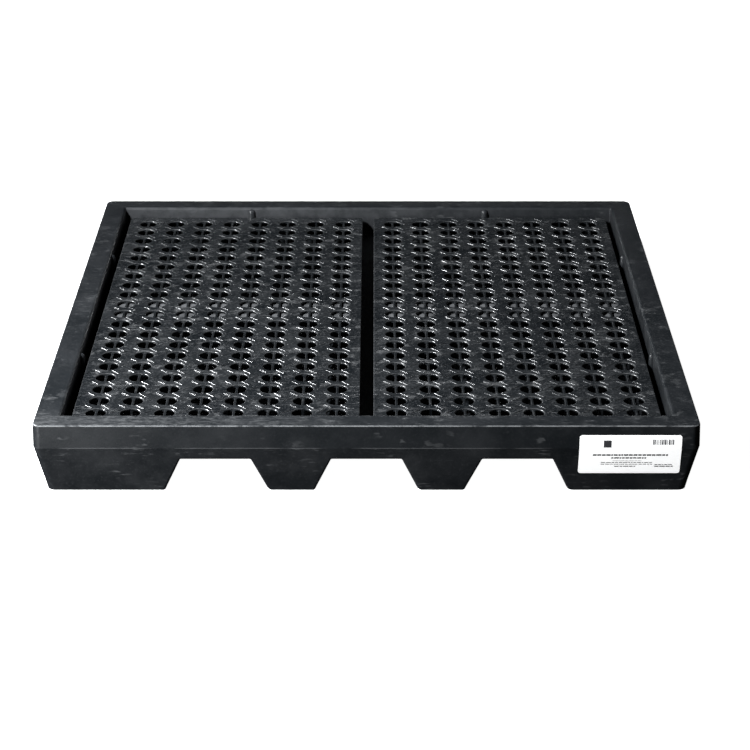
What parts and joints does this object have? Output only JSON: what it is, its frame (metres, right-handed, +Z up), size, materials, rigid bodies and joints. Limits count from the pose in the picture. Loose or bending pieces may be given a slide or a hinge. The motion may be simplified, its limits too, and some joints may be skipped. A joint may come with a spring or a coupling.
{
  "type": "spill containment pallet",
  "caption": "Low square drum spill pallet: a moulded sump tray with fork tunnels carries perforated lift-out grates, with a label on the front.",
  "frame": {"origin": "centre of the footprint, on the floor under the feet", "axes": "+X to the right seen from the labelled front, +Y from front to back along the fork tunnels, +Z up"},
  "size_m": [1.295, 1.2954, 0.149],
  "materials": {
    "tray_plastic": "moulded black polyethylene, satin, lightly scuffed",
    "grate_plastic": "moulded black polyethylene, satin, dusty and scuffed",
    "label_film": "printed white film"
  },
  "bodies": {
    "tray": {"sump_tray": "tray_plastic", "product_label": "label_film"},
    "left_grate": {"left_grate": "grate_plastic"},
    "right_grate": {"right_grate": "grate_plastic"}
  },
  "joints": [
    {"name": "left_grate_lift", "type": "slide", "parent": "tray", "child": "left_grate", "axis": [0, 0, 1], "range_m": [0, 0.2]},
    {"name": "right_grate_lift", "type": "slide", "parent": "tray", "child": "right_grate", "axis": [0, 0, 1], "range_m": [0, 0.2]}
  ]
}
